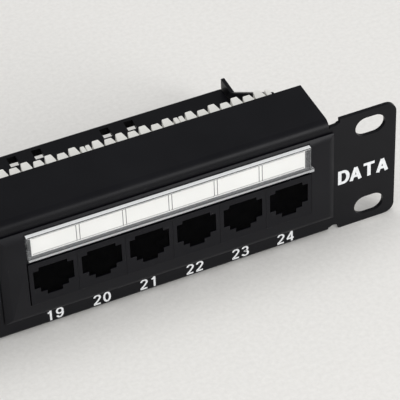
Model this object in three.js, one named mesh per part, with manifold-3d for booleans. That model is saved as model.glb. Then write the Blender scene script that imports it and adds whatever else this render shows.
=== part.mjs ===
// A 24-port 19-inch patch panel, one rack unit high: a folded steel front with four plug-in modules of
// six jacks, insulation-displacement terminal strips behind them, and a tie bar for the cables at the rear.
// Millimetres. X runs along the panel, +Y points to the rear, +Z is up. The design frame has Y = 0 on the
// front of the sheet and Z = 0 at mid-height; the exported group moves it to the bottom centre of the box.
import * as THREE from "three";
import { mergeVertices } from "three/addons/utils/BufferGeometryUtils.js";
import { ConvexGeometry } from "three/addons/geometries/ConvexGeometry.js";
import Module from "manifold-3d";

// Driving dimensions
const RACK_WIDTH = 482.6; // across the mounting ears
const EAR_HEIGHT = 44;
const BODY_HEIGHT = 44.2; // over the folded flanges: one rack unit less its clearance
const BODY_WIDTH = 437.4; // length of the flanges
const FLANGE_DEPTH = 19.7; // front of the sheet to the edge of the flange
const SHEET = 1.3; // steel thickness
const BEND_RADIUS = 1.5; // outside radius of the folds
const SLOT_SPAN = 465.1; // between the left and right mounting slots
const SLOT_PITCH = 31.75; // between the upper and lower mounting slots
const SLOT_LENGTH = 10;
const SLOT_HEIGHT = 7;
const GAP = 0.3; // between pieces that rest on each other

const MODULES = 4;
const MODULE_PITCH = 110.7;
const PORTS_PER_MODULE = 6;
const PORT_PITCH = 15.24;

const FRAME_WIDTH = 108;
const FRAME_TOP = 18;
const FRAME_BOTTOM = -16.2;
const FRAME_FACE = -1.9; // Y of the raised face of a module frame
const FRAME_SLOPE = 2.2; // width of its sloping border
const FRAME_RIM = -0.6; // Y where the slope starts
const JACK_FACE = -2.3; // Y of the front of a jack
const JACK_TOP = 6.2;
const JACK_BOTTOM = -10.1;
const JACK_REAR = 11;
const SOCKET_REAR = 8.6;

const COVER_WIDTH = 90.8;
const COVER_TOP = 17;
const COVER_BOTTOM = 7.35;
const COVER_FACE = -2.8; // Y of the front of a label cover
const COVER_PANE = 1.05; // thickness of its pane
const COVER_RIM = 1.2; // width of the rim around its back
const COVER_BACK = -1.2; // Y of the back of the rim

const BOARD_FRONT = 11.3;
const BOARD_THICKNESS = 1.6;
const BOARD_WIDTH = 92.4;
const BOARD_HEIGHT = 37.2;

const SLOTS_PER_STRIP = 24;
const TERMINAL_PITCH = 3.81;
const STRIP_OUTER = 17.2; // Z of the outer side of a terminal strip
const STRIP_INNER = 3.4; // Z of its inner side
const TALL_TOOTH = 28.8; // Y of the tip
const SHORT_TOOTH = 27.3;
const TOOTH_ROOT = 18.6; // Y of the bottom of a slot

const BAR_REAR = 68; // Y of the rear edge of the cable bar
const BAR_DEPTH = 18;
const BAR_TOP = -12.6;
const BAR_LIP = 3.6; // height of the turned-down rear lip
const BAR_BEND = 1.0; // outside radius of its fold
const TIE_PAIRS = 12;
const TIE_PITCH = 31.8; // between pairs of tie slots
const TIE_GAP = 8.4; // between the two slots of a pair
const TIE_SLOT_WIDTH = 3.1;
const TIE_SLOT_LENGTH = 4.6;
const TIE_SLOT_EDGE = 2.2; // from a slot to the rear edge of the bar
const ARM_SHEET = 1.3;
const ARM_INNER = 213.1; // X of the inner face of an arm
const STUD_X = 219.4;
const STUD_Z = 8;

const wasm = await Module();
wasm.setup();

const steel = new THREE.MeshStandardMaterial({ color: 0x3f4042, roughness: 0.55, metalness: 0.3 });
const framePlastic = new THREE.MeshStandardMaterial({ color: 0x55565b, roughness: 0.5 });
const jackPlastic = new THREE.MeshStandardMaterial({ color: 0x4d4e53, roughness: 0.45 });
const clearPlastic = new THREE.MeshStandardMaterial({
  color: 0xf2f4f4,
  roughness: 0.1,
  transparent: true,
  opacity: 0.4,
});
const paper = new THREE.MeshStandardMaterial({ color: 0xf6f6f2, roughness: 0.9 });
const ivoryPlastic = new THREE.MeshStandardMaterial({ color: 0xf1efe8, roughness: 0.5 });
const boardLaminate = new THREE.MeshStandardMaterial({ color: 0x1e5a38, roughness: 0.45 });
const zinc = new THREE.MeshStandardMaterial({ color: 0xb8bbbd, roughness: 0.35, metalness: 0.9 });

// Solids from three.js geometry, for joining and cutting
function solid(geometry) {
  const bare = geometry.clone();
  bare.deleteAttribute("normal");
  bare.deleteAttribute("uv");
  const merged = mergeVertices(bare, 1e-4);
  const mesh = new wasm.Mesh({
    numProp: 3,
    vertProperties: merged.attributes.position.array,
    triVerts: new Uint32Array(merged.index.array),
  });
  return new wasm.Manifold(mesh);
}

function geometryOf(body) {
  const mesh = body.getMesh();
  const geometry = new THREE.BufferGeometry();
  geometry.setAttribute("position", new THREE.BufferAttribute(mesh.vertProperties, 3));
  geometry.setIndex(new THREE.BufferAttribute(mesh.triVerts, 1));
  return geometry;
}

function namedMesh(name, body, material) {
  const mesh = new THREE.Mesh(geometryOf(body), material);
  mesh.name = name;
  return mesh;
}

function join(bodies) {
  return bodies.reduce((whole, body) => whole.add(body));
}

function cut(body, tools) {
  return tools.reduce((left, tool) => left.subtract(tool), body);
}

// A box between two corners
function box(x0, x1, y0, y1, z0, z1) {
  const geometry = new THREE.BoxGeometry(x1 - x0, y1 - y0, z1 - z0);
  return solid(geometry.translate((x0 + x1) / 2, (y0 + y1) / 2, (z0 + z1) / 2));
}

const TO_XZ = new THREE.Matrix4().makeBasis(
  new THREE.Vector3(1, 0, 0),
  new THREE.Vector3(0, 0, 1),
  new THREE.Vector3(0, -1, 0),
);
const TO_YZ = new THREE.Matrix4().makeBasis(
  new THREE.Vector3(0, 1, 0),
  new THREE.Vector3(0, 0, 1),
  new THREE.Vector3(1, 0, 0),
);

function extrude(shape, depth, curveSegments = 6) {
  return new THREE.ExtrudeGeometry(shape, { depth, bevelEnabled: false, curveSegments });
}

// An outline drawn in X and Z, standing between two Y values
function uprightPlate(shape, y0, y1, curveSegments) {
  return solid(extrude(shape, y1 - y0, curveSegments).applyMatrix4(TO_XZ).translate(0, y1, 0));
}

// An outline drawn in Y and Z, running between two X values
function beam(shape, x0, x1, curveSegments) {
  return solid(extrude(shape, x1 - x0, curveSegments).applyMatrix4(TO_YZ).translate(x0, 0, 0));
}

function polygon(points) {
  return new THREE.Shape(points.map(([a, b]) => new THREE.Vector2(a, b)));
}

function rodAlongY(radius, x, z, y0, y1, sides) {
  const geometry = new THREE.CylinderGeometry(radius, radius, y1 - y0, sides);
  return solid(geometry.translate(x, (y0 + y1) / 2, z));
}

function rodAlongX(radius, y, z, x0, x1, sides) {
  const geometry = new THREE.CylinderGeometry(radius, radius, x1 - x0, sides);
  return solid(geometry.rotateZ(Math.PI / 2).translate((x0 + x1) / 2, y, z));
}

// A slot with half-round ends, lying along X
function slotShape(x, z, length, height) {
  const reach = (length - height) / 2;
  const shape = new THREE.Shape();
  shape.absarc(x + reach, z, height / 2, -Math.PI / 2, Math.PI / 2);
  shape.absarc(x - reach, z, height / 2, Math.PI / 2, Math.PI * 1.5);
  return shape;
}

function moduleCentre(index) {
  return (index - (MODULES - 1) / 2) * MODULE_PITCH;
}

// Front panel: a steel channel with an ear at each end
const WINDOW_HALF = 47.1;
const WINDOW_TOP = 16;
const WINDOW_BOTTOM = -12.2;
const EAR_START = 222.2; // X of the inner edge of an ear beside its relief notch
const NOTCH_DEPTH = 2.1;
const EAR_CORNER = 3.5;

function channelShape() {
  const half = BODY_HEIGHT / 2;
  const inner = BEND_RADIUS - SHEET;
  const shape = new THREE.Shape();
  shape.moveTo(FLANGE_DEPTH, half);
  shape.lineTo(BEND_RADIUS, half);
  shape.absarc(BEND_RADIUS, half - BEND_RADIUS, BEND_RADIUS, Math.PI / 2, Math.PI);
  shape.absarc(BEND_RADIUS, BEND_RADIUS - half, BEND_RADIUS, Math.PI, Math.PI * 1.5);
  shape.lineTo(FLANGE_DEPTH, -half);
  shape.lineTo(FLANGE_DEPTH, SHEET - half);
  shape.absarc(BEND_RADIUS, BEND_RADIUS - half, inner, Math.PI * 1.5, Math.PI, true);
  shape.absarc(BEND_RADIUS, half - BEND_RADIUS, inner, Math.PI, Math.PI / 2, true);
  shape.lineTo(FLANGE_DEPTH, half - SHEET);
  return shape;
}

function earShape(side) {
  const half = EAR_HEIGHT / 2;
  const outer = RACK_WIDTH / 2;
  const shape = new THREE.Shape();
  shape.moveTo(EAR_START, -half);
  shape.lineTo(outer - EAR_CORNER, -half);
  shape.absarc(outer - EAR_CORNER, EAR_CORNER - half, EAR_CORNER, -Math.PI / 2, 0);
  shape.absarc(outer - EAR_CORNER, half - EAR_CORNER, EAR_CORNER, 0, Math.PI / 2);
  shape.lineTo(EAR_START, half);
  const points = shape.getPoints(6);
  return new THREE.Shape(side > 0 ? points : points.map((p) => new THREE.Vector2(-p.x, p.y)).reverse());
}

function frontPanel() {
  const web = BODY_HEIGHT / 2 - BEND_RADIUS;
  const notch = (EAR_START - BODY_WIDTH / 2) / 2;
  const pieces = [beam(channelShape(), -BODY_WIDTH / 2, BODY_WIDTH / 2, 5)];
  const tools = [];
  pieces.push(box(-EAR_START - 1, EAR_START + 1, 0, SHEET, -web, web)); // joins the ears to the channel
  for (const side of [-1, 1]) {
    pieces.push(uprightPlate(earShape(side), 0, SHEET));
    for (const level of [-1, 1]) {
      const notchX = side * (EAR_START - notch);
      const notchZ = level * (BODY_HEIGHT / 2 - NOTCH_DEPTH + notch);
      tools.push(rodAlongY(notch, notchX, notchZ, -1, SHEET + 1, 16));
      const [low, high] = level > 0 ? [notchZ, BODY_HEIGHT] : [-BODY_HEIGHT, notchZ];
      tools.push(box(notchX - notch, notchX + notch, -1, SHEET + 1, low, high));
      const slot = slotShape((side * SLOT_SPAN) / 2, (level * SLOT_PITCH) / 2, SLOT_LENGTH, SLOT_HEIGHT);
      tools.push(uprightPlate(slot, -1, SHEET + 1, 8));
    }
  }
  for (let index = 0; index < MODULES; index += 1) {
    const x = moduleCentre(index);
    tools.push(box(x - WINDOW_HALF, x + WINDOW_HALF, -1, SHEET + 1, WINDOW_BOTTOM, WINDOW_TOP));
  }
  const studs = [-1, 1].flatMap((side) =>
    [-1, 1].map((level) => rodAlongY(1.4, side * STUD_X, level * STUD_Z, SHEET - 0.5, 6.6, 12)),
  );
  return join([cut(join(pieces), tools), ...studs]);
}

// Module frame: a raised plastic bezel whose sleeve clips into a window of the panel
const SLEEVE_REAR = 6;
const SLEEVE_HALF = WINDOW_HALF - GAP - 0.1;
const JACK_WINDOW_HALF = 45.9;
const JACK_WINDOW_TOP = JACK_TOP + GAP;
const JACK_WINDOW_BOTTOM = JACK_BOTTOM - GAP;
const SLEEVE_WALL = 1.2;
const POCKET_FLOOR = COVER_BACK + GAP; // Y of the floor of the pocket that takes the label cover
const COVER_CENTRE = (COVER_TOP + COVER_BOTTOM) / 2;
const LEG_X = 44.8;
const LEG_HALF_WIDTH = 0.45;
const LEG_HALF_HEIGHT = 1.6;
const LEG_END = 1.2;

function frameCorners(half, bottom, top, y) {
  return [-half, half].flatMap((x) => [bottom, top].map((z) => new THREE.Vector3(x, y, z)));
}

function moduleFrame() {
  const half = FRAME_WIDTH / 2;
  const bezel = solid(
    new ConvexGeometry([
      ...frameCorners(half, FRAME_BOTTOM, FRAME_TOP, -GAP),
      ...frameCorners(half, FRAME_BOTTOM, FRAME_TOP, FRAME_RIM),
      ...frameCorners(half - FRAME_SLOPE, FRAME_BOTTOM + FRAME_SLOPE, FRAME_TOP - FRAME_SLOPE, FRAME_FACE),
    ]),
  );
  const sleeve = box(-SLEEVE_HALF, SLEEVE_HALF, -0.5, SLEEVE_REAR, WINDOW_BOTTOM + GAP, WINDOW_TOP - GAP);
  const hollow = box(
    -JACK_WINDOW_HALF,
    JACK_WINDOW_HALF,
    0.8,
    SLEEVE_REAR + 1,
    JACK_WINDOW_BOTTOM,
    WINDOW_TOP - GAP - SLEEVE_WALL,
  );
  const jackWindow = box(
    -JACK_WINDOW_HALF,
    JACK_WINDOW_HALF,
    -5,
    SLEEVE_REAR + 1,
    JACK_WINDOW_BOTTOM,
    JACK_WINDOW_TOP,
  );
  const pocket = box(
    -COVER_WIDTH / 2 - GAP,
    COVER_WIDTH / 2 + GAP,
    -5,
    POCKET_FLOOR,
    COVER_BOTTOM - GAP,
    COVER_TOP + GAP,
  );
  const legHoles = [-1, 1].map((side) =>
    box(
      side * LEG_X - LEG_HALF_WIDTH - GAP,
      side * LEG_X + LEG_HALF_WIDTH + GAP,
      -5,
      SLEEVE_REAR + 1,
      COVER_CENTRE - LEG_HALF_HEIGHT - GAP,
      COVER_CENTRE + LEG_HALF_HEIGHT + GAP,
    ),
  );
  const catchShape = polygon([
    [SHEET + GAP, WINDOW_TOP - 1],
    [SLEEVE_REAR, WINDOW_TOP - 1],
    [SLEEVE_REAR, WINDOW_TOP - GAP],
    [SHEET + GAP, WINDOW_TOP + 0.7],
  ]);
  const lowerCatchShape = polygon([
    [SHEET + GAP, WINDOW_BOTTOM - 0.7],
    [SLEEVE_REAR, WINDOW_BOTTOM + GAP],
    [SLEEVE_REAR, WINDOW_BOTTOM + 0.8],
    [SHEET + GAP, WINDOW_BOTTOM + 0.8],
  ]);
  const catches = [-30, 30].flatMap((x) => [
    beam(catchShape, x - 4, x + 4),
    beam(lowerCatchShape, x - 4, x + 4),
  ]);
  return cut(join([bezel, sleeve]), [hollow, jackWindow, pocket, ...legHoles]).add(join(catches));
}

// Label cover: a clear tray over the paper strip, with two snap legs and a finger tab
const TAB_REACH = 1.0;
const TAB_HEIGHT = 2.2;

function labelCover() {
  const half = COVER_WIDTH / 2;
  const chamfer = 0.25;
  const block = solid(
    new ConvexGeometry([
      ...frameCorners(half, COVER_BOTTOM, COVER_TOP, COVER_BACK),
      ...frameCorners(half, COVER_BOTTOM, COVER_TOP, COVER_FACE + chamfer),
      ...frameCorners(half - chamfer, COVER_BOTTOM + chamfer, COVER_TOP - chamfer, COVER_FACE),
    ]),
  );
  const inside = half - COVER_RIM;
  const paneBack = COVER_FACE + COVER_PANE;
  const tray = box(-inside, inside, paneBack, 0, COVER_BOTTOM + COVER_RIM, COVER_TOP - COVER_RIM);
  const legs = [-1, 1].map((side) =>
    box(
      side * LEG_X - LEG_HALF_WIDTH,
      side * LEG_X + LEG_HALF_WIDTH,
      COVER_BACK - 0.2,
      LEG_END,
      COVER_CENTRE - LEG_HALF_HEIGHT,
      COVER_CENTRE + LEG_HALF_HEIGHT,
    ),
  );
  const tab = uprightPlate(
    polygon([
      [half - 0.6, COVER_BOTTOM],
      [half + TAB_REACH, COVER_BOTTOM],
      [half + TAB_REACH, COVER_BOTTOM + TAB_HEIGHT - 1],
      [half, COVER_BOTTOM + TAB_HEIGHT],
      [half - 0.6, COVER_BOTTOM + TAB_HEIGHT],
    ]),
    COVER_FACE,
    FRAME_FACE - GAP,
  );
  return join([cut(block, [tray]), ...legs, tab]);
}

function labelStrip() {
  const half = COVER_WIDTH / 2 - COVER_RIM - GAP;
  const front = COVER_FACE + COVER_PANE + GAP;
  return box(-half, half, front, COVER_BACK, COVER_BOTTOM + COVER_RIM + GAP, COVER_TOP - COVER_RIM - GAP);
}

// Jack: a housing with a stepped socket for an eight-way plug, its latch side down
function socketShape() {
  // half-width, top and bottom of each step
  const levels = [
    [4.4, 4.05, 2.85],
    [6.2, 2.85, -4.05],
    [4.3, -4.05, -5.75],
    [2.35, -5.75, -7.35],
  ];
  const right = levels.flatMap(([half, top, bottom]) => [
    [half, top],
    [half, bottom],
  ]);
  const left = right.map(([x, z]) => [-x, z]).reverse();
  return polygon([...left, ...right].reverse());
}

function jack() {
  const half = (PORT_PITCH - GAP) / 2;
  const housing = box(-half, half, JACK_FACE, JACK_REAR, JACK_BOTTOM, JACK_TOP);
  const relief = box(-half - 1, half + 1, SLEEVE_REAR + 1, JACK_REAR + 1, JACK_TOP - 2.4, JACK_TOP + 1);
  return cut(housing, [uprightPlate(socketShape(), JACK_FACE - 1, SOCKET_REAR), relief]);
}

// Circuit board behind the six jacks of a module
function circuitBoard() {
  const half = BOARD_WIDTH / 2;
  const level = BOARD_HEIGHT / 2;
  const board = box(-half, half, BOARD_FRONT, BOARD_FRONT + BOARD_THICKNESS, -level, level);
  const holes = [-1, 1].map((side) => rodAlongY(1.6, side * 41.5, 0, 0, 20, 16));
  return cut(board, holes);
}

// Terminal strip: three blocks of eight wire slots; long and short teeth alternate, half teeth end a block
function terminalStrip(level) {
  const front = BOARD_FRONT + BOARD_THICKNESS + GAP;
  const slotHalf = 0.45;
  const tipInset = 0.5;
  const end = (SLOTS_PER_STRIP * TERMINAL_PITCH) / 2;
  const points = [
    [-end, front],
    [end, front],
  ];
  for (let tooth = SLOTS_PER_STRIP; tooth >= 0; tooth -= 1) {
    const x = tooth * TERMINAL_PITCH - end;
    const place = tooth % 8;
    const tip = place % 2 === 1 ? TALL_TOOTH : SHORT_TOOTH;
    const left = tooth === 0 ? x : x - TERMINAL_PITCH / 2 + slotHalf;
    const right = tooth === SLOTS_PER_STRIP ? x : x + TERMINAL_PITCH / 2 - slotHalf;
    if (tooth < SLOTS_PER_STRIP) points.push([right, TOOTH_ROOT]);
    points.push([right - (tooth < SLOTS_PER_STRIP ? tipInset : 0), tip]);
    if (place === 0 && tooth > 0 && tooth < SLOTS_PER_STRIP) {
      points.push([x + 0.15, tip], [x, tip - 3.5], [x - 0.15, tip]);
    }
    points.push([left + (tooth > 0 ? tipInset : 0), tip]);
    if (tooth > 0) points.push([left, TOOTH_ROOT]);
  }
  const height = STRIP_OUTER - STRIP_INNER;
  const low = level > 0 ? STRIP_INNER : -STRIP_OUTER;
  return solid(extrude(polygon(points), height).translate(0, 0, low));
}

// Cable bar: a folded strip with pairs of tie slots, carried on two arms
const TAB_FRONT = BAR_REAR - 15;
const TAB_REAR = BAR_REAR - 4;
const BAR_SCREW_Y = (TAB_FRONT + TAB_REAR) / 2;
const BAR_SCREW_Z = BAR_TOP - 3.4;
const TAB_BOTTOM = BAR_TOP - 6.4;

function cableBar() {
  const end = ARM_INNER - GAP;
  const front = BAR_REAR - BAR_DEPTH;
  const bottom = BAR_TOP - BAR_LIP;
  const shape = new THREE.Shape();
  shape.moveTo(front, BAR_TOP);
  shape.lineTo(front, BAR_TOP - SHEET);
  shape.lineTo(BAR_REAR - SHEET, BAR_TOP - SHEET);
  shape.lineTo(BAR_REAR - SHEET, bottom);
  shape.lineTo(BAR_REAR, bottom);
  shape.absarc(BAR_REAR - BAR_BEND, BAR_TOP - BAR_BEND, BAR_BEND, 0, Math.PI / 2);
  const tabs = [-1, 1].map((side) => {
    const inner = side * (end - SHEET);
    const [low, high] = side > 0 ? [inner, end] : [-end, inner];
    return box(low, high, TAB_FRONT, TAB_REAR, TAB_BOTTOM, BAR_TOP - 0.5);
  });
  const slots = [];
  for (let pair = 0; pair < TIE_PAIRS; pair += 1) {
    const centre = (pair - (TIE_PAIRS - 1) / 2) * TIE_PITCH;
    for (const side of [-1, 1]) {
      const x = centre + (side * TIE_GAP) / 2;
      const rear = BAR_REAR - TIE_SLOT_EDGE;
      const reach = TIE_SLOT_WIDTH / 2;
      slots.push(box(x - reach, x + reach, rear - TIE_SLOT_LENGTH, rear, BAR_TOP - SHEET - 1, BAR_TOP + 1));
    }
  }
  const bores = [-1, 1].map((side) =>
    rodAlongX(1.55, BAR_SCREW_Y, BAR_SCREW_Z, side * end - 3, side * end + 3, 12),
  );
  return cut(join([beam(shape, -end, end, 4), ...tabs]), [...slots, ...bores]);
}

const ARM_HALF_HEIGHT = 13.3; // where it is fastened to the front panel
const ARM_REAR_TOP = -8.9;
const ARM_REAR_BOTTOM = -19.4;

function barArm(side) {
  const front = SHEET + GAP;
  const shape = polygon([
    [front, -ARM_HALF_HEIGHT],
    [24, -ARM_HALF_HEIGHT],
    [36, ARM_REAR_BOTTOM],
    [BAR_REAR, ARM_REAR_BOTTOM],
    [BAR_REAR, ARM_REAR_TOP],
    [BAR_REAR - 8, ARM_REAR_TOP],
    [30, ARM_HALF_HEIGHT],
    [front, ARM_HALF_HEIGHT],
  ]);
  const tabEnd = EAR_START + 1.4;
  const plate = beam(shape, ARM_INNER, ARM_INNER + ARM_SHEET);
  const tab = box(ARM_INNER, tabEnd, front, front + ARM_SHEET, -ARM_HALF_HEIGHT, ARM_HALF_HEIGHT);
  const tools = [-1, 1].map((level) => rodAlongY(1.75, STUD_X, level * STUD_Z, 0, 8, 12));
  tools.push(rodAlongX(1.6, BAR_SCREW_Y, BAR_SCREW_Z, ARM_INNER - 2, ARM_INNER + 4, 12));
  const arm = cut(plate.add(tab), tools);
  return side > 0 ? arm : arm.mirror([1, 0, 0]);
}

function studNut() {
  const start = SHEET + GAP + ARM_SHEET + GAP;
  return rodAlongY(3.15, 0, 0, start, start + 2.4, 6).subtract(rodAlongY(1.75, 0, 0, 0, 10, 12));
}

function barScrew(side) {
  const head = ARM_INNER + ARM_SHEET + GAP;
  const screw = rodAlongX(1.25, BAR_SCREW_Y, BAR_SCREW_Z, ARM_INNER - 5, head + 0.5, 10).add(
    rodAlongX(2.8, BAR_SCREW_Y, BAR_SCREW_Z, head, head + 2, 16),
  );
  const recess = join([
    box(head + 1.1, head + 3, BAR_SCREW_Y - 1.6, BAR_SCREW_Y + 1.6, BAR_SCREW_Z - 0.35, BAR_SCREW_Z + 0.35),
    box(head + 1.1, head + 3, BAR_SCREW_Y - 0.35, BAR_SCREW_Y + 0.35, BAR_SCREW_Z - 1.6, BAR_SCREW_Z + 1.6),
  ]);
  const cross = screw.subtract(recess);
  return side > 0 ? cross : cross.mirror([1, 0, 0]);
}

// Assembly
const panel = new THREE.Group();
panel.add(namedMesh("front_panel", frontPanel(), steel));

for (let index = 0; index < MODULES; index += 1) {
  const number = index + 1;
  const module = new THREE.Group();
  module.position.x = moduleCentre(index);
  module.add(namedMesh(`module_frame_${number}`, moduleFrame(), framePlastic));
  module.add(namedMesh(`label_cover_${number}`, labelCover(), clearPlastic));
  module.add(namedMesh(`label_strip_${number}`, labelStrip(), paper));
  module.add(namedMesh(`circuit_board_${number}`, circuitBoard(), boardLaminate));
  module.add(namedMesh(`upper_terminals_${number}`, terminalStrip(1), ivoryPlastic));
  module.add(namedMesh(`lower_terminals_${number}`, terminalStrip(-1), ivoryPlastic));
  for (let place = 0; place < PORTS_PER_MODULE; place += 1) {
    const port = index * PORTS_PER_MODULE + place + 1;
    const housing = namedMesh(`jack_${String(port).padStart(2, "0")}`, jack(), jackPlastic);
    housing.position.x = (place - (PORTS_PER_MODULE - 1) / 2) * PORT_PITCH;
    module.add(housing);
  }
  panel.add(module);
}

panel.add(namedMesh("cable_bar", cableBar(), steel));
for (const [word, side] of [
  ["left", -1],
  ["right", 1],
]) {
  panel.add(namedMesh(`bar_arm_${word}`, barArm(side), steel));
  panel.add(namedMesh(`bar_screw_${word}`, barScrew(side), zinc));
  for (const [place, level] of [
    ["upper", 1],
    ["lower", -1],
  ]) {
    const nut = namedMesh(`arm_nut_${word}_${place}`, studNut(), zinc);
    nut.position.set(side * STUD_X, 0, level * STUD_Z);
    panel.add(nut);
  }
}

panel.position.set(0, -(COVER_FACE + BAR_REAR) / 2, BODY_HEIGHT / 2);
const patchPanel = new THREE.Group();
patchPanel.add(panel);

export default patchPanel;
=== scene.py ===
"""Looks of the patch panel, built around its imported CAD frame. Lengths are in metres, X along the panel,
+Y to the rear and +Z up, as in the frame."""
import math

import bmesh
import bpy
from mathutils import Matrix, Vector


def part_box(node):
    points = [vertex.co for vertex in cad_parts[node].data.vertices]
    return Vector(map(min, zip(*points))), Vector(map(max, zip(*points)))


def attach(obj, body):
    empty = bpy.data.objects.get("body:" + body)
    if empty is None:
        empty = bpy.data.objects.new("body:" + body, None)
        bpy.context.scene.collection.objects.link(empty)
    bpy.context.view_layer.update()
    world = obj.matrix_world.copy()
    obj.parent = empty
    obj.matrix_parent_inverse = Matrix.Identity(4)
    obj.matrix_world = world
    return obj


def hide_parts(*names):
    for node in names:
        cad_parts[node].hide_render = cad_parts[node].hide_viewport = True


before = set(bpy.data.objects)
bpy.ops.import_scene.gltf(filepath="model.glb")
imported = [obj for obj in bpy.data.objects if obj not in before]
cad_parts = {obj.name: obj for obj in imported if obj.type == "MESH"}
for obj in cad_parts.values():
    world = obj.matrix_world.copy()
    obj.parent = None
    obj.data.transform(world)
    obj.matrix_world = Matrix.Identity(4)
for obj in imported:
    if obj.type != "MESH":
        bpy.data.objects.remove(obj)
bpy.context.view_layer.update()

MM = 0.001
MODULES = 4
PORTS = 6  # in a module
CONTACTS = 8  # in a jack
CONTACT_PITCH = 1.02 * MM
BLOCKS = 3  # in a terminal strip
BLOCK_SLOTS = 8  # wire slots in a block


def centre(box):
    return (box[0] + box[1]) / 2


def middle(node):
    return centre(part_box(node))


# ---------------------------------------------------------------- materials
def new_material(name):
    material = bpy.data.materials.new(name)
    material.use_nodes = True
    nodes, links = material.node_tree.nodes, material.node_tree.links
    return material, nodes, links, nodes["Principled BSDF"]


def coordinates(nodes):
    return nodes.new("ShaderNodeTexCoord").outputs["Object"]


def noise(nodes, links, vector, scale, detail=3.0):
    """Cloudy noise, its scale in cells per metre"""
    texture = nodes.new("ShaderNodeTexNoise")
    texture.inputs["Scale"].default_value = scale
    texture.inputs["Detail"].default_value = detail
    texture.inputs["Roughness"].default_value = 0.55
    links.new(vector, texture.inputs["Vector"])
    return texture.outputs["Fac"]


def ramp(nodes, links, value, low, high):
    """Turns the middle of a noise's range into low to high, each a grey level or three numbers"""
    node = nodes.new("ShaderNodeValToRGB")
    for element, position, colour in zip(node.color_ramp.elements, (0.3, 0.7), (low, high)):
        element.position = position
        element.color = (*((colour,) * 3 if isinstance(colour, float) else colour), 1)
    links.new(value, node.inputs["Fac"])
    return node.outputs["Color"]


def bump(nodes, links, height, strength, distance):
    node = nodes.new("ShaderNodeBump")
    node.inputs["Strength"].default_value = strength
    node.inputs["Distance"].default_value = distance
    links.new(height, node.inputs["Height"])
    return node.outputs["Normal"]


def surface(name, low, high, rough, grain, depth, metallic=0.0, cloud=60.0, specular=0.5):
    """A material with cloudy colour from low to high, uneven gloss and a fine grain. rough is its (lowest,
    highest) roughness, depth the height of the grain, and grain and cloud are texture cells per metre."""
    material, nodes, links, shader = new_material(name)
    vector = coordinates(nodes)
    links.new(ramp(nodes, links, noise(nodes, links, vector, cloud), low, high), shader.inputs["Base Color"])
    worn = noise(nodes, links, vector, cloud * 4, detail=4.0)
    links.new(ramp(nodes, links, worn, *rough), shader.inputs["Roughness"])
    fine = noise(nodes, links, vector, grain, detail=2.0)
    links.new(bump(nodes, links, fine, strength=0.6, distance=depth), shader.inputs["Normal"])
    shader.inputs["Metallic"].default_value = metallic
    shader.inputs["Specular IOR Level"].default_value = specular
    return material


def black_plastic(name, rough, grain, depth, specular):
    low, high = (0.0042, 0.0042, 0.0058), (0.0062, 0.0062, 0.008)
    return surface(name, low, high, rough, grain, depth, specular=specular)


def metal(name, low, high, rough, grain, depth, cloud):
    return surface(name, low, high, rough, grain, depth, metallic=1.0, cloud=cloud)


def clear(name, alpha, tint):
    """A clear plastic: the higher its alpha, the more of its tint shows"""
    material = surface(name, tint, tuple(min(1.0, c + 0.03) for c in tint), (0.06, 0.14), 1500.0, 0.0006 * MM)
    material.node_tree.nodes["Principled BSDF"].inputs["Alpha"].default_value = alpha
    return material


powder = surface("powder_coat", (0.004, 0.004, 0.0052), (0.006, 0.006, 0.0074), (0.34, 0.42), 2600.0,
                 0.02 * MM, specular=0.13)
bezel_plastic = black_plastic("bezel_plastic", (0.32, 0.42), 5200.0, 0.01 * MM, 0.14)
housing_plastic = black_plastic("housing_plastic", (0.33, 0.44), 6000.0, 0.008 * MM, 0.12)
ivory = surface("ivory_plastic", (0.8, 0.785, 0.74), (0.86, 0.85, 0.81), (0.32, 0.45), 3000.0, 0.012 * MM)
paper = surface("label_card", (0.78, 0.775, 0.75), (0.83, 0.825, 0.8), (0.85, 0.95), 9000.0, 0.008 * MM)
zinc = metal("zinc_plate", (0.52, 0.53, 0.54), (0.66, 0.66, 0.67), (0.22, 0.4), 3500.0, 0.01 * MM, 200.0)
gold = metal("gold_flash", (0.82, 0.58, 0.24), (0.9, 0.68, 0.33), (0.18, 0.3), 4000.0, 0.004 * MM, 300.0)
tin = metal("tin_plate", (0.58, 0.57, 0.55), (0.7, 0.69, 0.67), (0.25, 0.42), 4000.0, 0.006 * MM, 300.0)
white_ink = surface("white_ink", (0.66, 0.67, 0.68), (0.8, 0.81, 0.82), (0.5, 0.65), 7000.0, 0.004 * MM,
                    cloud=900.0)
grey_ink = surface("grey_ink", (0.07, 0.07, 0.07), (0.12, 0.12, 0.12), (0.7, 0.8), 7000.0, 0.002 * MM,
                   cloud=900.0)

# The materials of a label cover, and their places in its mesh's list: the clear pane, then clear plastics
# tinted with painted light and shade (grey painted reflection on the rim, a white painted highlight on the
# upper edge, dark painted shade along the top front edge, a light painted highlight on the lower front bevel)
COVER_PANE_AND_PAINTED_LIGHT = [
    clear("clear_pane", 0.07, (0.9, 0.92, 0.93)),
    clear("clear_rim_painted_reflection", 0.3, (0.4, 0.41, 0.42)),
    clear("clear_edge_painted_highlight", 0.85, (0.88, 0.89, 0.89)),
    clear("clear_crease_painted_shade", 0.8, (0.07, 0.07, 0.07)),
    clear("clear_lip_painted_highlight", 0.6, (0.6, 0.61, 0.62)),
]
PANE, RIM_PAINTED_REFLECTION, EDGE_PAINTED_HIGHLIGHT, CREASE_PAINTED_SHADE, LIP_PAINTED_HIGHLIGHT = range(len(COVER_PANE_AND_PAINTED_LIGHT))


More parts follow.
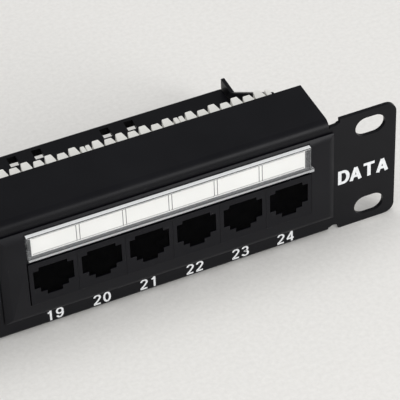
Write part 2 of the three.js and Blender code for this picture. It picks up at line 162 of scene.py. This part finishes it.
def laminate():
    """Green solder mask, with copper tracks and a ground plane showing faintly through it"""
    material, nodes, links, shader = new_material("solder_mask")
    vector = coordinates(nodes)
    cells = nodes.new("ShaderNodeTexBrick")
    cells.offset = 0.37
    cells.inputs["Scale"].default_value = 260.0
    cells.inputs["Mortar Size"].default_value = 0.03
    cells.inputs["Brick Width"].default_value = 1.7
    cells.inputs["Row Height"].default_value = 0.3
    cells.inputs["Color1"].default_value = (0.008, 0.085, 0.035, 1)
    cells.inputs["Color2"].default_value = (0.012, 0.12, 0.05, 1)
    cells.inputs["Mortar"].default_value = (0.02, 0.2, 0.085, 1)
    turned = nodes.new("ShaderNodeMapping")
    turned.inputs["Rotation"].default_value = (math.pi / 2, 0, 0)
    links.new(vector, turned.inputs["Vector"])
    links.new(turned.outputs["Vector"], cells.inputs["Vector"])
    links.new(cells.outputs["Color"], shader.inputs["Base Color"])
    links.new(ramp(nodes, links, noise(nodes, links, vector, 300.0), 0.25, 0.4), shader.inputs["Roughness"])
    tracks = bump(nodes, links, cells.outputs["Fac"], strength=0.5, distance=0.03 * MM)
    links.new(tracks, shader.inputs["Normal"])
    return material


board_green = laminate()


# ---------------------------------------------------------------- meshes
WELD = 0.002 * MM  # vertices of the CAD closer than this are one
SMOOTH_LIMIT = 40  # degrees between two faces that are shaded as one


def mesh_from(bm, name, materials):
    """A mesh with smooth rounded edges and flat faces left flat"""
    bmesh.ops.recalc_face_normals(bm, faces=bm.faces)
    limit = math.radians(SMOOTH_LIMIT)
    for face in bm.faces:
        face.smooth = True
    for edge in bm.edges:
        edge.smooth = len(edge.link_faces) == 2 and edge.calc_face_angle(0) < limit
    rough = bpy.data.meshes.new(name + "_draft")
    bm.to_mesh(rough)
    bm.free()
    for material in materials:
        rough.materials.append(material)
    draft = bpy.data.objects.new(name + "_draft", rough)
    bpy.context.scene.collection.objects.link(draft)
    weighted = draft.modifiers.new("normals", "WEIGHTED_NORMAL")
    weighted.keep_sharp = True
    graph = bpy.context.evaluated_depsgraph_get()
    shaded = draft.evaluated_get(graph)
    mesh = bpy.data.meshes.new_from_object(shaded, preserve_all_data_layers=True, depsgraph=graph)
    mesh.name = name
    bpy.data.objects.remove(draft)
    bpy.data.meshes.remove(rough)
    return mesh


def round_edges(bm, width, segments=2, sharper_than=35):
    """Rounds each edge whose two faces meet at more than sharper_than degrees"""
    limit = math.radians(sharper_than)
    edges = [e for e in bm.edges if len(e.link_faces) == 2 and e.calc_face_angle(0) > limit]
    bmesh.ops.bevel(
        bm, geom=edges, offset=width, segments=segments, profile=0.5, affect="EDGES", clamp_overlap=True,
        loop_slide=True, miter_outer="ARC", miter_inner="SHARP",
    )


def cad_mesh(node, origin, weld=WELD):
    """The CAD node's shape about an origin, welded and with its flat faces merged"""
    bm = bmesh.new()
    bm.from_mesh(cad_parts[node].data)
    bmesh.ops.translate(bm, vec=-origin, verts=bm.verts)
    bmesh.ops.remove_doubles(bm, verts=bm.verts, dist=weld)
    bmesh.ops.dissolve_limit(
        bm, angle_limit=math.radians(0.6), use_dissolve_boundaries=False, verts=bm.verts, edges=bm.edges
    )
    return bm


def refined(node, name, material, width, segments=2, origin=Vector(), weld=WELD, reshape=None):
    """The CAD node's shape with its edges rounded to a width, after reshape has changed it"""
    bm = cad_mesh(node, origin, weld)
    if reshape:
        reshape(bm)
    round_edges(bm, width, segments)
    return mesh_from(bm, name, [material])


def place(name, mesh, body, at=(0, 0, 0), stands_for=()):
    """A piece of this mesh that rides on a body and stands for the CAD nodes named"""
    piece = bpy.data.objects.new(name, mesh)
    bpy.context.scene.collection.objects.link(piece)
    piece.location = at
    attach(piece, body)
    if stands_for:
        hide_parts(*stands_for)


def add_skin(bm, rings):
    """Joins rings of vertices, each with the next, and closes both ends"""
    for first, second in zip(rings, rings[1:]):
        for k in range(len(first)):
            n = (k + 1) % len(first)
            bm.faces.new((first[k], first[n], second[n], second[k]))
    bm.faces.new(rings[0][::-1])
    bm.faces.new(rings[-1])


def add_box(bm, low, high):
    """A box between its lowest and its highest corner"""
    outline = [(low[0], low[2]), (high[0], low[2]), (high[0], high[2]), (low[0], high[2])]
    add_skin(bm, [[bm.verts.new((x, y, z)) for x, z in outline] for y in (low[1], high[1])])


def add_tube(bm, path, radius, sides):
    """A closed tube along a path of points that keeps to one X"""
    rings = []
    for index, point in enumerate(path):
        before, after = path[max(index - 1, 0)], path[min(index + 1, len(path) - 1)]
        along = (after - before).normalized()
        across = Vector((1, 0, 0))
        up = along.cross(across).normalized()
        rings.append([
            bm.verts.new(point + radius * (math.cos(t) * across + math.sin(t) * up))
            for t in (2 * math.pi * k / sides for k in range(sides))
        ])
    add_skin(bm, rings)


def add_dome(bm, at, radius, height, sides):
    """A low dome that stands on a point towards the rear, its rings each a share of its radius and height"""
    rings = []
    for share, level in ((1.0, 0.0), (0.86, 0.35), (0.5, 0.75), (0.28, 1.0)):
        reach, y = radius * share, at[1] + height * level
        rings.append([
            bm.verts.new((at[0] + reach * math.cos(t), y, at[2] + reach * math.sin(t)))
            for t in (2 * math.pi * k / sides for k in range(sides))
        ])
    add_skin(bm, rings)


# ---------------------------------------------------------------- front panel, bar and arms
panel_low, panel_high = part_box("front_panel")
SLEEVE_DEPTH = 6 * MM  # a module frame's sleeve ends this far behind the front of the sheet
SHEET_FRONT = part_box("module_frame_1")[1].y - SLEEVE_DEPTH
BEND = 1.5 * MM  # outer radius of both folds in the CAD
SOFT_BEND = 2.6 * MM
FOLD_END = 218.7 * MM  # X where the folds end
NOTCH_MIDDLE = 220.45 * MM  # X of the deepest point of the notch beside the fold
NOTCH_DROP = 2.1 * MM
NOTCH_REACH = 0.7 * MM  # the fold's and the notch's vertices lie no further than this below the fold's axis
NEAR = 0.01 * MM
SHEET_WELD = 0.09 * MM  # takes away slivers that would stop the rounding
STEEL_EDGE = 0.15 * MM
SCREW_EDGE = 0.16 * MM
NUT_EDGE = 0.2 * MM


def soften_top_fold(bm):
    """Opens the radius of the upper fold, where the coat of paint lies thick on the outside of the bend"""
    top = panel_high.z
    pivot = Vector((0, SHEET_FRONT + BEND, top - BEND))
    new_pivot = Vector((0, SHEET_FRONT + SOFT_BEND, top - SOFT_BEND))
    for v in bm.verts:
        reach = abs(v.co.x)
        if v.co.z < pivot.z - NOTCH_REACH or v.co.y > pivot.y + NEAR:
            continue
        if reach < FOLD_END + 5 * NEAR:
            spoke = Vector((0, v.co.y, v.co.z)) - pivot
            if spoke.z > -NEAR and spoke.length < BEND + NEAR:
                moved = new_pivot + spoke.normalized() * (spoke.length + SOFT_BEND - BEND)
                v.co.y, v.co.z = moved.y, moved.z
        elif reach < NOTCH_MIDDLE:
            v.co.z = min(v.co.z, top - NOTCH_DROP)


def place_refined(name, node, slot, material, width, segments=2, **changes):
    """A piece on the root that stands for one CAD node and has its shape"""
    place(name, refined(node, name, material, width, segments, **changes), "root", stands_for=[node])


place_refined("panel_sheet", "front_panel", "panel_steel", powder, STEEL_EDGE, weld=SHEET_WELD,
              reshape=soften_top_fold)
place_refined("tie_bar", "cable_bar", "panel_steel", powder, STEEL_EDGE)
for side in ("left", "right"):
    place_refined(f"support_{side}", f"bar_arm_{side}", "panel_steel", powder, STEEL_EDGE)
    place_refined(f"machine_screw_{side}", f"bar_screw_{side}", "fastener_zinc", zinc, SCREW_EDGE, 3)
    for level in ("upper", "lower"):
        place_refined(f"hex_nut_{side}_{level}", f"arm_nut_{side}_{level}", "fastener_zinc", zinc, NUT_EDGE)

# ---------------------------------------------------------------- jacks and boards
JACK_EDGE = 0.07 * MM
SEAM = 0.04 * MM  # between two jack housings
BOARD_EDGE = 0.12 * MM
jack_pitch = middle("jack_02").x - middle("jack_01").x


def housing_mesh():
    """A jack housing, widened until only a seam is left between it and the next"""
    mesh = refined("jack_01", "jack_housing", housing_plastic, JACK_EDGE, origin=middle("jack_01"))
    low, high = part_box("jack_01")
    widen = (jack_pitch - SEAM) / (high.x - low.x)
    for vertex in mesh.vertices:
        vertex.co.x *= widen
    return mesh


def contact_places():
    """X of each contact of a jack, from the jack's middle"""
    return [(k - (CONTACTS - 1) / 2) * CONTACT_PITCH for k in range(CONTACTS)]


def contacts_mesh():
    """Spring contacts that come forward along the roof of a socket and turn back down into it"""
    low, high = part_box("jack_01")
    origin = centre((low, high))
    front, rear = low.y - origin.y, high.y - origin.y
    roof = high.z - origin.z
    # places along Y, each with its distance below the roof
    route = [
        (rear - 2.2 * MM, 7.6 * MM),
        (rear - 4.6 * MM, 5.6 * MM),
        (front + 4.4 * MM, 2.6 * MM),
        (front + 3.2 * MM, 1.75 * MM),
        (front + 2.6 * MM, 1.62 * MM),
    ]
    bm = bmesh.new()
    for x in contact_places():
        add_tube(bm, [Vector((x, y, roof - drop)) for y, drop in route], radius=0.19 * MM, sides=6)
    return mesh_from(bm, "spring_contacts", [gold])


def solder_mesh():
    """The jacks' solder joints on the rear of a board, in two staggered rows"""
    low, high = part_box("circuit_board_1")
    rear = (high.y - low.y) / 2
    row = 1.27 * MM
    bm = bmesh.new()
    for port in range(PORTS):
        jack_x = (port - (PORTS - 1) / 2) * jack_pitch
        for k, x in enumerate(contact_places()):
            at = (jack_x + x, rear, row if k % 2 else -row)
            add_dome(bm, at, radius=0.5 * MM, height=0.55 * MM, sides=10)
    return mesh_from(bm, "solder", [tin])


# ---------------------------------------------------------------- label covers and cards
COVER_EDGE = 0.16 * MM
CARD_EDGE = 0.04 * MM
CARD_SLIP = 0.25 * MM  # each card has slipped this far, to the bottom of its pocket
PANE_MARGIN = 0.5 * MM  # the pane reaches this far past the card
CREST = 0.4 * MM  # height of the cover's upper edge, the band painted with highlight and shade
RULE_SHIFT = 0.52 * MM  # of the two rules of a pair, from their middle
RULE_HALF = 0.12 * MM  # half the width of an upright rule
BORDER_HALF = 0.1 * MM


def cover_mesh(strip_box):
    """A clear tray. Its pane over the card is clearest. The rest is painted light and shade: the rim around
    it is painted greyer for the refraction and reflection in its walls, its upper edge is painted white as a
    highlight, between painted shade along its rounded front edge, and its lower front bevel is painted light
    as a highlight."""
    origin = middle("label_cover_1")
    inner_half = (strip_box[1].x - strip_box[0].x) / 2 + PANE_MARGIN
    inner_low = strip_box[0].z - origin.z - PANE_MARGIN
    inner_high = strip_box[1].z - origin.z + PANE_MARGIN
    bm = cad_mesh("label_cover_1", origin)
    round_edges(bm, COVER_EDGE, sharper_than=20)
    everything = bm.verts[:] + bm.edges[:] + bm.faces[:]
    bmesh.ops.bisect_plane(bm, geom=everything, plane_co=(0, 0, inner_low), plane_no=(0, 0, 1))
    mesh = mesh_from(bm, "clear_cover", COVER_PANE_AND_PAINTED_LIGHT)
    crest = max(v.co.z for v in mesh.vertices) - CREST
    for polygon in mesh.polygons:
        at, normal = polygon.center, polygon.normal
        over_card = abs(at.x) < inner_half and inner_low < at.z < inner_high
        facing = abs(normal.y) > 0.9
        if over_card and facing:
            polygon.material_index = PANE
        # Painted shade: the rounded front edge along the top is dark
        elif at.z > crest and not facing and normal.z < 0.95 and abs(normal.x) < 0.3:
            polygon.material_index = CREASE_PAINTED_SHADE
        # Painted highlight: the lower front bevel is light
        elif normal.y < -0.3 and at.z < inner_low:
            polygon.material_index = LIP_PAINTED_HIGHLIGHT
        # Painted highlight: the upper edge and the rim above the card are white
        elif at.z > crest or (facing and at.z > inner_high):
            polygon.material_index = EDGE_PAINTED_HIGHLIGHT
        # Painted reflection: the rest of the rim is tinted grey for the refraction and reflection seen in its
        # walls
        else:
            polygon.material_index = RIM_PAINTED_REFLECTION
    return mesh


def card_mesh(strip_box):
    low, high = strip_box
    origin = centre(strip_box)
    bm = bmesh.new()
    add_box(bm, low - origin - Vector((0, 0, CARD_SLIP)), high - origin)
    round_edges(bm, CARD_EDGE, 1)
    return mesh_from(bm, "card", [paper])


def rules_mesh(strip_box):
    """Pairs of thin rules that divide a card into one field for each port, and one along each long edge"""
    low, high = strip_box
    half = (high - low) / 2
    bm = bmesh.new()

    def add_rule(left, right, bottom, top):
        proud, sunk = 0.012 * MM, 0.01 * MM
        add_box(bm, (left, -half.y - proud, bottom), (right, -half.y + sunk, top))

    end = half.z - 0.1 * MM
    for field in range(1, PORTS):
        line = (field / PORTS - 0.5) * (high.x - low.x)
        for x in (line - RULE_SHIFT, line + RULE_SHIFT):
            add_rule(x - RULE_HALF, x + RULE_HALF, -end, end)
    end = half.x - 0.3 * MM
    border = half.z - 0.25 * MM
    for z in (-border, border):
        add_rule(-end, end, z - BORDER_HALF, z + BORDER_HALF)
    return mesh_from(bm, "strip_rules", [grey_ink])


# ---------------------------------------------------------------- terminals
SLOT_DEPTH = 9.9 * MM
SLOT_HALF = 0.27 * MM
ROOT_WIDE, ROOT_HIGH = 0.12 * MM, 0.4 * MM  # the slot is narrower by this at its root, over this height
END_GAP = 0.06 * MM  # at each end of a block
SHORTER = 0.9 * MM  # of every second tooth
TOOTH_EDGE = 0.34 * MM


def tooth_taper(tooth):
    """The height and the width of the taper on each side of a tooth's tip"""
    if tooth in (0, BLOCK_SLOTS):
        return 1.6 * MM, 0.15 * MM
    return (3.0 * MM, 0.6 * MM) if tooth % 2 else (2.0 * MM, 0.5 * MM)


def block_mesh(strip_low, strip_high):
    """One block of eight wire slots: long and short teeth with rounded tips, half teeth at its ends"""
    pitch = (strip_high.x - strip_low.x) / (BLOCKS * BLOCK_SLOTS)
    half = BLOCK_SLOTS * pitch / 2 - END_GAP
    depth, height = (strip_high.y - strip_low.y) / 2, (strip_high.z - strip_low.z) / 2
    root = depth - SLOT_DEPTH
    outline = [(-half, -depth), (half, -depth)]
    for tooth in range(BLOCK_SLOTS, -1, -1):
        x = (tooth - BLOCK_SLOTS / 2) * pitch
        tip = depth if tooth % 2 else depth - SHORTER
        left = -half if tooth == 0 else x - pitch / 2 + SLOT_HALF
        right = half if tooth == BLOCK_SLOTS else x + pitch / 2 - SLOT_HALF
        fall, lead = tooth_taper(tooth)
        if tooth < BLOCK_SLOTS:
            outline += [(right - ROOT_WIDE, root), (right, root + ROOT_HIGH)]
        outline += [(right, tip - fall), (right - lead, tip), (left + lead, tip), (left, tip - fall)]
        if tooth > 0:
            outline += [(left, root + ROOT_HIGH), (left + ROOT_WIDE, root)]
    bm = bmesh.new()
    add_skin(bm, [[bm.verts.new((x, y, z)) for x, y in outline] for z in (-height, height)])
    bmesh.ops.recalc_face_normals(bm, faces=bm.faces)
    round_edges(bm, TOOTH_EDGE, 3, sharper_than=20)
    return mesh_from(bm, "terminal_block", [ivory])


def blades_mesh(strip_low, strip_high):
    """The split metal contacts that stand in the slots of a block, as two blades at each end of a slot"""
    pitch = (strip_high.x - strip_low.x) / (BLOCKS * BLOCK_SLOTS)
    root = (strip_high.y - strip_low.y) / 2 - SLOT_DEPTH
    bottom, top = root - 0.3 * MM, root + 6.4 * MM
    thickness = 0.4 * MM
    bm = bmesh.new()
    for k in range(BLOCK_SLOTS):
        x = (k + 0.5 - BLOCK_SLOTS / 2) * pitch
        for left, right in ((-0.36 * MM, -0.1 * MM), (0.1 * MM, 0.36 * MM)):
            for z in (-2.6 * MM, 2.2 * MM):
                add_box(bm, (x + left, bottom, z), (x + right, top, z + thickness))
    return mesh_from(bm, "slot_contacts", [tin])


# ---------------------------------------------------------------- modules
BEZEL_EDGE = 0.13 * MM
bezel = refined("module_frame_1", "bezel", bezel_plastic, BEZEL_EDGE, 3, origin=middle("module_frame_1"))
housing = housing_mesh()
contacts = contacts_mesh()
bare_board = refined("circuit_board_1", "board", board_green, BOARD_EDGE, 1, origin=middle("circuit_board_1"))
solder = solder_mesh()
cover = cover_mesh(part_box("label_strip_1"))
card = card_mesh(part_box("label_strip_1"))
rules = rules_mesh(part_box("label_strip_1"))
block = block_mesh(*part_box("upper_terminals_1"))
blades = blades_mesh(*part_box("upper_terminals_1"))

for number in range(1, MODULES + 1):
    node = f"module_frame_{number}"
    place(f"bezel_{number}", bezel, "root", middle(node), [node])
    body = f"label_cover_{number}"
    place(f"clear_cover_{number}", cover, body, middle(body), [body])
    strip = f"label_strip_{number}"
    place(f"card_{number}", card, body, middle(strip), [strip])
    place(f"card_rules_{number}", rules, body, middle(strip))
    board = f"circuit_board_{number}"
    place(f"board_{number}", bare_board, "root", middle(board), [board])
    place(f"board_solder_{number}", solder, "root", middle(board))
    for level in ("upper", "lower"):
        node = f"{level}_terminals_{number}"
        low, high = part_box(node)
        for index in range(BLOCKS):
            at = middle(node)
            at.x += (index - (BLOCKS - 1) / 2) * (high.x - low.x) / BLOCKS
            tag = f"{level}_{number}_{index + 1}"
            place(f"terminal_block_{tag}", block, "root", at, [] if index else [node])
            place(f"slot_contacts_{tag}", blades, "root", at)

for port in range(1, MODULES * PORTS + 1):
    node = f"jack_{port:02d}"
    place(f"housing_{port:02d}", housing, "root", middle(node), [node])
    place(f"contacts_{port:02d}", contacts, "root", middle(node))

# ---------------------------------------------------------------- printing
INK = 0.02 * MM
BREADTH = 1.12  # the characters are this much broader than they are drawn below
DIGIT = 0.56  # width of every figure, with the height as the unit
POINT_SPACING = 0.06  # along a stroke, with the height as the unit
sheet_half = (panel_high.z - panel_low.z) / 2
mid_height = (panel_low.z + panel_high.z) / 2


def oval(x, z, wide, high, start, end):
    """Points of an elliptical arc between two angles in degrees, counter-clockwise when end is the larger"""
    steps = max(4, int(abs(end - start) / 12))
    turns = (math.radians(start + (end - start) * k / steps) for k in range(steps + 1))
    return [(x + wide * math.cos(t), z + high * math.sin(t)) for t in turns]


# Centre lines of the printed characters, with their height as the unit
GLYPHS = {
    "0": [oval(0.28, 0.5, 0.2, 0.425, 0, 360)],
    "1": [[(0.34, 0.0), (0.34, 1.0)], [(0.14, 0.76), (0.26, 0.82), (0.34, 0.93)]],
    "2": [oval(0.28, 0.7, 0.2, 0.225, 170, -20) + [(0.3, 0.36), (0.09, 0.14), (0.09, 0.075), (0.5, 0.075)]],
    "3": [oval(0.27, 0.72, 0.18, 0.205, 165, -90) + oval(0.27, 0.29, 0.205, 0.22, 88, -165)],
    "4": [[(0.4, 0.0), (0.4, 1.0)], [(0.4, 0.95), (0.07, 0.33)], [(0.03, 0.29), (0.54, 0.29)]],
    "5": [[(0.48, 0.925), (0.16, 0.925), (0.11, 0.5)] + oval(0.275, 0.325, 0.205, 0.25, 130, -155)],
    "6": [oval(0.28, 0.32, 0.2, 0.245, 0, 360), oval(0.3, 0.5, 0.225, 0.425, 185, 35)],
    "7": [[(0.06, 0.925), (0.5, 0.925), (0.36, 0.62), (0.24, 0.3), (0.2, 0.0)]],
    "8": [oval(0.28, 0.725, 0.17, 0.2, 0, 360), oval(0.28, 0.3, 0.205, 0.225, 0, 360)],
    "9": [oval(0.28, 0.68, 0.2, 0.245, 0, 360), oval(0.26, 0.5, 0.225, 0.425, 5, -145)],
    "D": [
        [(0.11, 0.0), (0.11, 1.0)],
        [(0.04, 0.91), (0.3, 0.91)] + oval(0.32, 0.5, 0.25, 0.41, 85, -85) + [(0.04, 0.09)],
    ],
    "A": [[(0.1, 0.0), (0.35, 0.94)], [(0.6, 0.0), (0.35, 0.94)], [(0.2, 0.3), (0.5, 0.3)]],
    "T": [[(0.02, 0.91), (0.64, 0.91)], [(0.33, 0.0), (0.33, 0.9)]],
}


def finely(path, spacing):
    """The path with points added so that none lie further apart than the spacing"""
    points = [Vector(path[0])]
    for start, end in zip(path, path[1:]):
        start, end = Vector(start), Vector(end)
        count = max(1, math.ceil((end - start).length / spacing))
        points += [start.lerp(end, (k + 1) / count) for k in range(count)]
    return points


def add_stroke(bm, path, weight, fit):
    """A flat stroke along a path, with mitred corners. fit gives the place of a point of the path's plane,
    on the face of the stroke or, where buried, on its back."""
    points = finely(path, POINT_SPACING)
    closed = (points[0] - points[-1]).length < 1e-4
    rings = []
    for index, point in enumerate(points):
        before = points[index - 1] if index else (points[-2] if closed else point)
        after = points[index + 1] if index + 1 < len(points) else (points[1] if closed else point)
        into, out = (point - before), (after - point)
        into = into.normalized() if into.length else out.normalized()
        out = out.normalized() if out.length else into
        mean = (into + out).normalized()
        across = Vector((-mean.y, mean.x)) * weight / 2 / max(0.5, mean.dot(out))
        one, other = point + across, point - across
        corners = ((one, False), (other, False), (other, True), (one, True))
        rings.append([bm.verts.new(fit(corner, buried)) for corner, buried in corners])
    add_skin(bm, rings)


def on_sheet(x, z, raised):
    """A place this far in front of the sheet, which turns back at its lower fold. The origin is the middle
    of the sheet's front."""
    drop = min(max(BEND - sheet_half - z, 0.0), BEND)
    back = BEND - math.sqrt(BEND**2 - drop**2)
    return x, back - raised, z


def printed(name, words, size, x, z, weight, gap):
    """Screen print about a place on the front of the sheet. size is its height, weight the stroke and gap
    the space between characters, both as shares of the height."""
    reach = {c: [p[0] for path in GLYPHS[c] for p in path] for c in words}
    starts = [0.0 if c.isdigit() else min(reach[c]) - weight / 2 for c in words]
    ends = [DIGIT if c.isdigit() else max(reach[c]) + weight / 2 for c in words]
    bm = bmesh.new()
    pen = -(sum(ends) - sum(starts) + gap * (len(words) - 1)) / 2
    for character, start, end in zip(words, starts, ends):
        for layer, path in enumerate(GLYPHS[character]):
            thickness = INK * (1 + layer / 4)  # strokes that cross never share a plane

            def fit(point, buried):
                across = (point.x + pen - start) * size * BREADTH
                return on_sheet(across, (point.y - 0.5) * size + z, 0.0 if buried else thickness)

            add_stroke(bm, path, weight, fit)
        pen += end - start + gap
    place(name, mesh_from(bm, name, [white_ink]), "root", (x, SHEET_FRONT, mid_height))


for port in range(1, MODULES * PORTS + 1):
    number_x = middle(f"jack_{port:02d}").x - 0.2 * MM
    printed(f"number_{port:02d}", str(port), size=4.1 * MM, x=number_x, z=-18.7 * MM, weight=0.14, gap=0.13)
printed("ear_word", "DATA", size=5.4 * MM, x=230.2 * MM, z=-1.5 * MM, weight=0.19, gap=0.0)

# ---------------------------------------------------------------- stage
FLOOR_HALF = 4
floor_corners = [(FLOOR_HALF * x, FLOOR_HALF * y, 0) for x, y in ((-1, -1), (1, -1), (1, 1), (-1, 1))]
floor_mesh = bpy.data.meshes.new("floor")
floor_mesh.from_pydata(floor_corners, [], [(0, 1, 2, 3)])
floor_mesh.materials.append(
    surface("floor", (0.77, 0.755, 0.725), (0.83, 0.815, 0.785), (0.75, 0.85), 900.0, 0.05 * MM, cloud=700.0)
)
floor = bpy.data.objects.new("floor", floor_mesh)
bpy.context.scene.collection.objects.link(floor)

world = bpy.data.worlds.new("studio")
world.use_nodes = True
sky = world.node_tree.nodes["Background"]
sky.inputs["Color"].default_value = (0.97, 0.98, 1.0, 1)
sky.inputs["Strength"].default_value = 0.42
bpy.context.scene.world = world


def softbox(name, at, target, size, power, mirrored):
    """A rectangular light that faces a target. Glossy surfaces reflect it only if mirrored."""
    light = bpy.data.lights.new(name, "AREA")
    light.shape = "RECTANGLE"
    light.size, light.size_y = size
    light.energy = power
    lamp = bpy.data.objects.new(name, light)
    lamp.location = at
    lamp.visible_glossy = mirrored
    lamp.rotation_euler = (Vector(target) - Vector(at)).to_track_quat("-Z", "Y").to_euler()
    bpy.context.scene.collection.objects.link(lamp)


softbox("top_light", at=(0.0, 0.05, 1.7), target=(0.1, 0, 0), size=(1.8, 1.2), power=16, mirrored=False)
softbox("front_light", at=(0.95, -1.3, 0.45), target=(0.17, 0, 0.02), size=(0.8, 0.9), power=17,
        mirrored=True)
bpy.context.scene.view_settings.view_transform = "Standard"

# ---------------------------------------------------------------- camera
AZIMUTH, ELEVATION, ROLL = math.radians(22.384), math.radians(42.130), math.radians(-2.419)
EYE = (-0.021401, -0.512071, 0.499082)
forward = Vector((
    math.sin(AZIMUTH) * math.cos(ELEVATION),
    math.cos(AZIMUTH) * math.cos(ELEVATION),
    -math.sin(ELEVATION),
))
level_right = Vector((math.cos(AZIMUTH), -math.sin(AZIMUTH), 0))
level_up = level_right.cross(forward)
right = math.cos(ROLL) * level_right + math.sin(ROLL) * level_up
up = -math.sin(ROLL) * level_right + math.cos(ROLL) * level_up
optics = bpy.data.cameras.new("camera")
optics.sensor_width = 36
optics.lens = 212.18
optics.clip_end = 50
camera = bpy.data.objects.new("camera", optics)
camera.matrix_world = Matrix([(right[k], up[k], -forward[k], EYE[k]) for k in range(3)] + [(0, 0, 0, 1)])
bpy.context.scene.collection.objects.link(camera)
bpy.context.scene.camera = camera
